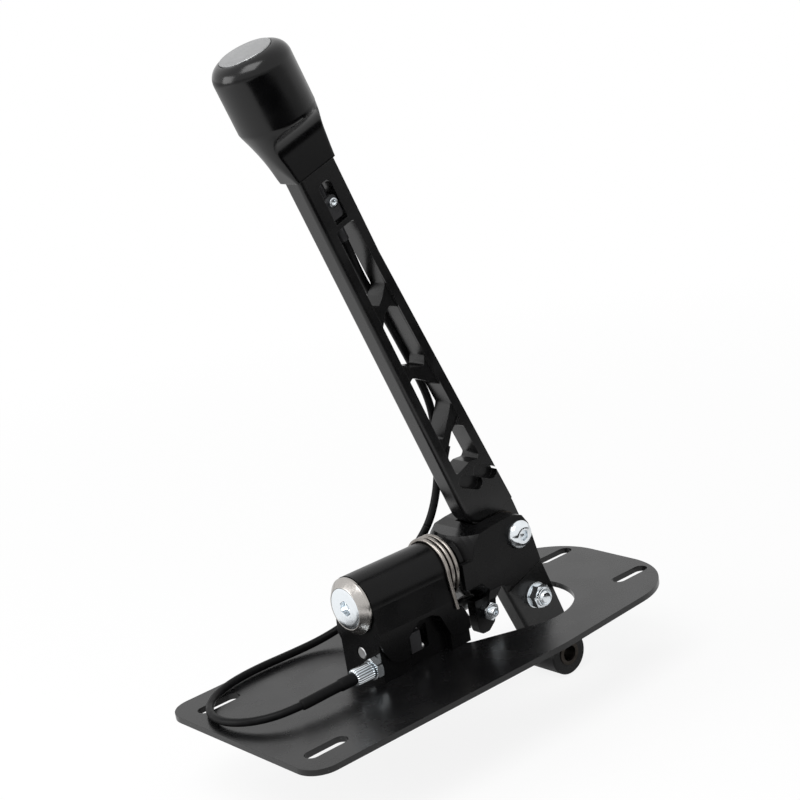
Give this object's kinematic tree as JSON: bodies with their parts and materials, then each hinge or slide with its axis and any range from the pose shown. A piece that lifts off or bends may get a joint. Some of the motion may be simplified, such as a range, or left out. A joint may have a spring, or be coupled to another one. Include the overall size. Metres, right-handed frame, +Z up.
{
  "type": "short shifter",
  "caption": "Car short shifter: a milled lever on a fork that rolls on a cross shaft, bolted on a slotted plate, with a pull-up knob that draws back a reverse lock pin by cable.",
  "frame": {"origin": "middle of the base plate's underside, where it bolts to the tunnel", "axes": "+X along the plate towards the lever, +Z up, +Y to the side that the cable runs along"},
  "size_m": [0.3, 0.141, 0.419],
  "materials": {
    "plate_coat": "satin",
    "housing_coat": "satin",
    "fork_coat": "satin",
    "lever_coat": "satin",
    "bright_zinc": "satin",
    "dark_steel": "satin",
    "turned_steel": "satin",
    "bronze": "satin",
    "knob_black": "matte",
    "cap_silver": "satin",
    "spring_steel": "satin",
    "cable_black": "matte",
    "wire_steel": "satin"
  },
  "bodies": {
    "base": {"base_plate": "plate_coat", "bearing_housing": "housing_coat", "housing_screws": "bright_zinc", "front_shaft_bush": "bronze", "rear_shaft_bush": "bronze", "cable_adjuster": "dark_steel", "adjuster_nut": "dark_steel", "cable_boot": "cable_black", "cable_base_run": "cable_black", "centring_spring": "spring_steel", "pin_spring": "spring_steel"},
    "fork": {"fork": "fork_coat", "cross_shaft": "turned_steel", "end_washer": "turned_steel", "end_screw": "dark_steel", "thrust_ring": "turned_steel", "stop_screw": "bright_zinc", "stop_screw_nut": "bright_zinc", "pivot_bolt": "dark_steel", "pivot_washer": "bright_zinc", "pivot_nut": "bright_zinc", "thrust_washers": "turned_steel", "cable_fork_run": "cable_black"},
    "lever": {"lever": "lever_coat", "pivot_bush": "bronze", "eye_bush": "bronze", "arm_bolt": "bright_zinc", "arm_washer": "bright_zinc", "arm_nut": "bright_zinc", "cable_lever_run": "cable_black", "cable_ferrule": "bright_zinc"},
    "knob": {"knob": "knob_black", "knob_cap": "cap_silver", "knob_slider": "dark_steel", "slider_screw": "bright_zinc", "knob_wire": "wire_steel"},
    "lock_pin": {"lock_pin": "turned_steel", "pin_link": "dark_steel", "pin_wire": "wire_steel"}
  },
  "joints": [
    {"name": "fork_roll", "type": "hinge", "parent": "base", "child": "fork", "pos_m": [0, 0, 0.0479], "axis": [1, 0, 0], "range_deg": [-9, 6], "stiffness_Nm_per_rad": 8, "deforming": ["centring_spring", "cable_base_run", "cable_fork_run"]},
    {"name": "lever_throw", "type": "hinge", "parent": "fork", "child": "lever", "pos_m": [0.0557, 0, 0.0543], "axis": [0, 1, 0], "range_deg": [0, 14], "deforming": ["cable_fork_run", "cable_lever_run"]},
    {"name": "knob_lift", "type": "slide", "parent": "lever", "child": "knob", "axis": [-0.3371, 0, 0.9415], "range_m": [0, 0.009]},
    {"name": "pin_draw", "type": "slide", "parent": "base", "child": "lock_pin", "axis": [-1, 0, 0], "range_m": [0, 0.009], "stiffness_N_per_m": 1200, "springref_m": -0.004, "deforming": ["pin_spring"]}
  ],
  "couplings": [
    {"joint": "pin_draw", "follows": "knob_lift", "ratio": 1}
  ]
}
